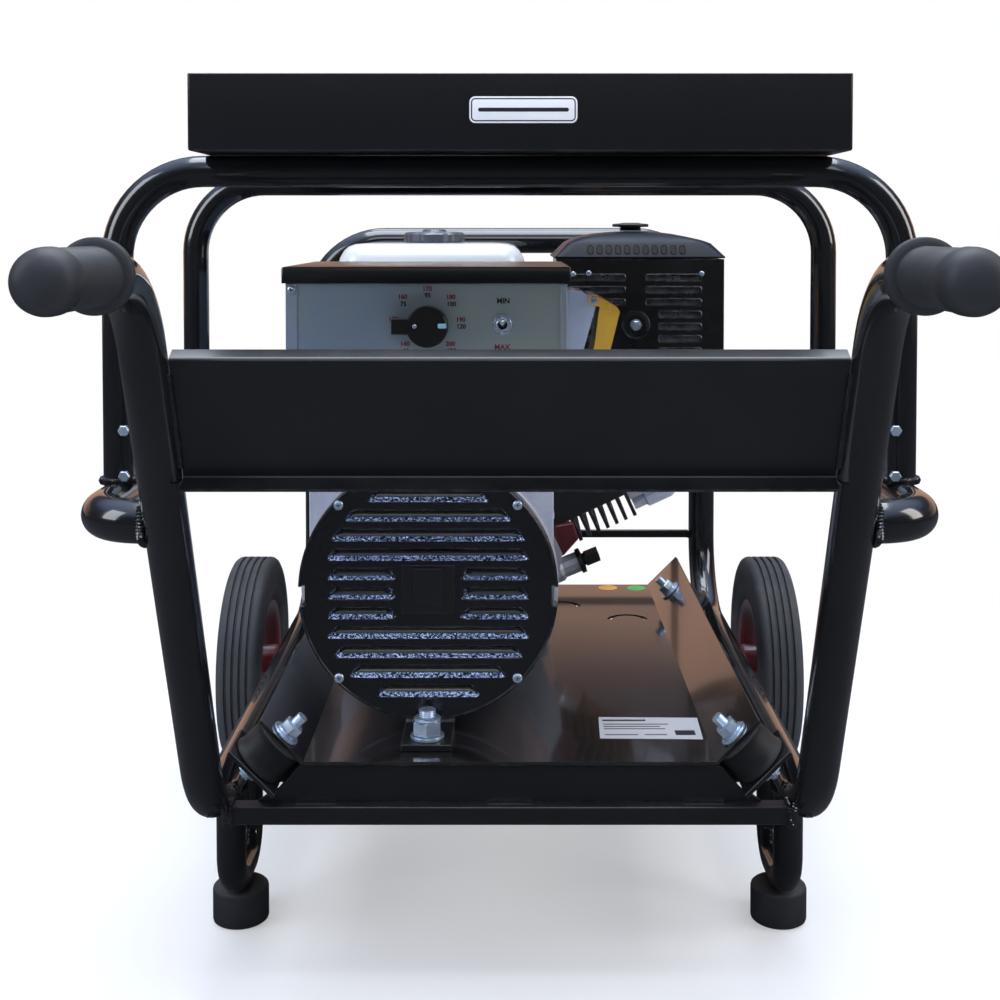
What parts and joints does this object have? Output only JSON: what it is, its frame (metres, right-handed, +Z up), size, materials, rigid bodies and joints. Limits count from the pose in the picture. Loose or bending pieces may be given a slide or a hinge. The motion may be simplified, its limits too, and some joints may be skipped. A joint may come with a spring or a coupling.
{
  "type": "engine-driven welding generator",
  "caption": "Engine-driven welding generator on a two-wheeled barrow frame: louvred alternator, control box with dial and flap socket, side bumpers, caged tool tray and long handles.",
  "frame": {"origin": "on the floor, at the middle of the machine's footprint box", "axes": "+X to the right of a person standing at the handles, +Y forward from the handles over the wheels, +Z up"},
  "size_m": [0.688, 1.1339, 0.78],
  "materials": {
    "black_paint": "gloss black stove enamel on steel",
    "grip_rubber": "moulded rubber, matt with a soft sheen",
    "tyre_rubber": "solid rubber, dry matt grey-black",
    "mount_rubber": "matt rubber bonded to zinc studs",
    "rim_red": "gloss dark red enamel",
    "zinc": "bright zinc plate",
    "cast_aluminium": "cast, satin",
    "silver_sheet": "satin silver-grey paint",
    "black_plastic": "moulded, fine texture",
    "socket_grey": "light grey moulding, satin",
    "flap_yellow": "yellow moulding, satin",
    "tank_white": "white gloss",
    "steel": "plain machined steel",
    "wound_core": "laminated core with copper windings"
  },
  "bodies": {
    "frame": {"main_tube_left": "black_paint", "main_tube_right": "black_paint", "rear_hoop": "black_paint", "side_bumper_left": "black_paint", "side_bumper_right": "black_paint", "cage_hoop_front": "black_paint", "cage_hoop_rear": "black_paint", "front_cross_bar": "black_paint", "rear_cross_bar": "black_paint", "leg_left": "black_paint", "leg_right": "black_paint", "handle_panel": "black_paint", "top_tray": "black_paint", "bed_plate": "black_paint", "grip_left": "grip_rubber", "grip_right": "grip_rubber", "foot_left": "grip_rubber", "foot_right": "grip_rubber", "rubber_mount_front_left": "mount_rubber", "rubber_mount_front_right": "mount_rubber", "rubber_mount_rear_left": "mount_rubber", "rubber_mount_rear_right": "mount_rubber", "stand_nut": "zinc", "axle": "steel", "alternator_cover": "black_paint", "end_bell": "cast_aluminium", "stator_housing": "cast_aluminium", "stator_core": "wound_core", "engine_adapter": "cast_aluminium", "control_box": "silver_sheet", "control_box_lid": "black_paint", "control_panel": "silver_sheet", "socket_housing": "socket_grey", "crankcase": "cast_aluminium", "cylinder": "black_paint", "rocker_cover": "cast_aluminium", "plug_cap": "silver_sheet", "muffler": "steel", "muffler_guard": "black_paint", "air_cleaner_cover": "black_plastic", "carburettor": "cast_aluminium", "fuel_tank": "tank_white", "fan_housing": "black_paint", "recoil_cover": "black_paint"},
    "wheel_left": {"tyre_left": "tyre_rubber", "rim_left": "rim_red"},
    "wheel_right": {"tyre_right": "tyre_rubber", "rim_right": "rim_red"},
    "crank_set": {"crankshaft": "steel", "rotor": "steel", "cooling_fan": "black_plastic", "flywheel": "cast_aluminium"},
    "selector_knob": {"selector_knob": "black_plastic"},
    "toggle_lever": {"toggle_lever": "zinc"},
    "socket_flap": {"socket_flap": "flap_yellow"},
    "fuel_cap": {"fuel_cap": "black_plastic"},
    "oil_dipstick": {"oil_dipstick": "black_plastic"},
    "recoil_handle": {"recoil_handle": "black_plastic"},
    "air_cleaner_knob": {"air_cleaner_knob": "black_plastic"},
    "engine_switch": {"engine_switch": "rim_red"}
  },
  "joints": [
    {"name": "wheel_left_spin", "type": "hinge", "parent": "frame", "child": "wheel_left", "pos_m": [-0.319, 0.407, 0.125], "axis": [1, 0, 0], "continuous": true},
    {"name": "wheel_right_spin", "type": "hinge", "parent": "frame", "child": "wheel_right", "pos_m": [0.319, 0.407, 0.125], "axis": [1, 0, 0], "continuous": true},
    {"name": "crank_spin", "type": "hinge", "parent": "frame", "child": "crank_set", "pos_m": [-0.073, 0.2, 0.337], "axis": [0, 1, 0], "continuous": true},
    {"name": "selector_turn", "type": "hinge", "parent": "frame", "child": "selector_knob", "pos_m": [-0.074, -0.07, 0.574], "axis": [0, 1, 0], "range_deg": [-45, 225]},
    {"name": "toggle_flip", "type": "hinge", "parent": "frame", "child": "toggle_lever", "pos_m": [-0.0064, -0.063, 0.575], "axis": [1, 0, 0], "range_deg": [0, 24]},
    {"name": "socket_flap_lift", "type": "hinge", "parent": "frame", "child": "socket_flap", "pos_m": [0.0767, -0.0175, 0.5967], "axis": [0, -1, 0], "range_deg": [0, 110], "stiffness_Nm_per_rad": 0.06, "springref_deg": -28.65},
    {"name": "fuel_cap_turn", "type": "hinge", "parent": "frame", "child": "fuel_cap", "pos_m": [-0.092, 0.384, 0.6453], "axis": [0, 0, 1], "range_deg": [0, 90]},
    {"name": "oil_dipstick_unscrew", "type": "hinge", "parent": "frame", "child": "oil_dipstick", "pos_m": [0.0535, 0.244, 0.276], "axis": [0.9249, 0, 0.3802], "range_deg": [0, 720]},
    {"name": "air_cleaner_knob_unscrew", "type": "hinge", "parent": "frame", "child": "air_cleaner_knob", "pos_m": [0.14, 0.3, 0.6593], "axis": [0, 0, 1], "range_deg": [0, 720]},
    {"name": "engine_switch_rock", "type": "hinge", "parent": "frame", "child": "engine_switch", "pos_m": [-0.187, 0.311, 0.31], "axis": [0, 1, 0], "range_deg": [0, 14]},
    {"name": "recoil_pull", "type": "slide", "parent": "frame", "child": "recoil_handle", "axis": [0, 0, 1], "range_m": [0, 0.12], "stiffness_N_per_m": 60, "springref_m": -0.15}
  ]
}
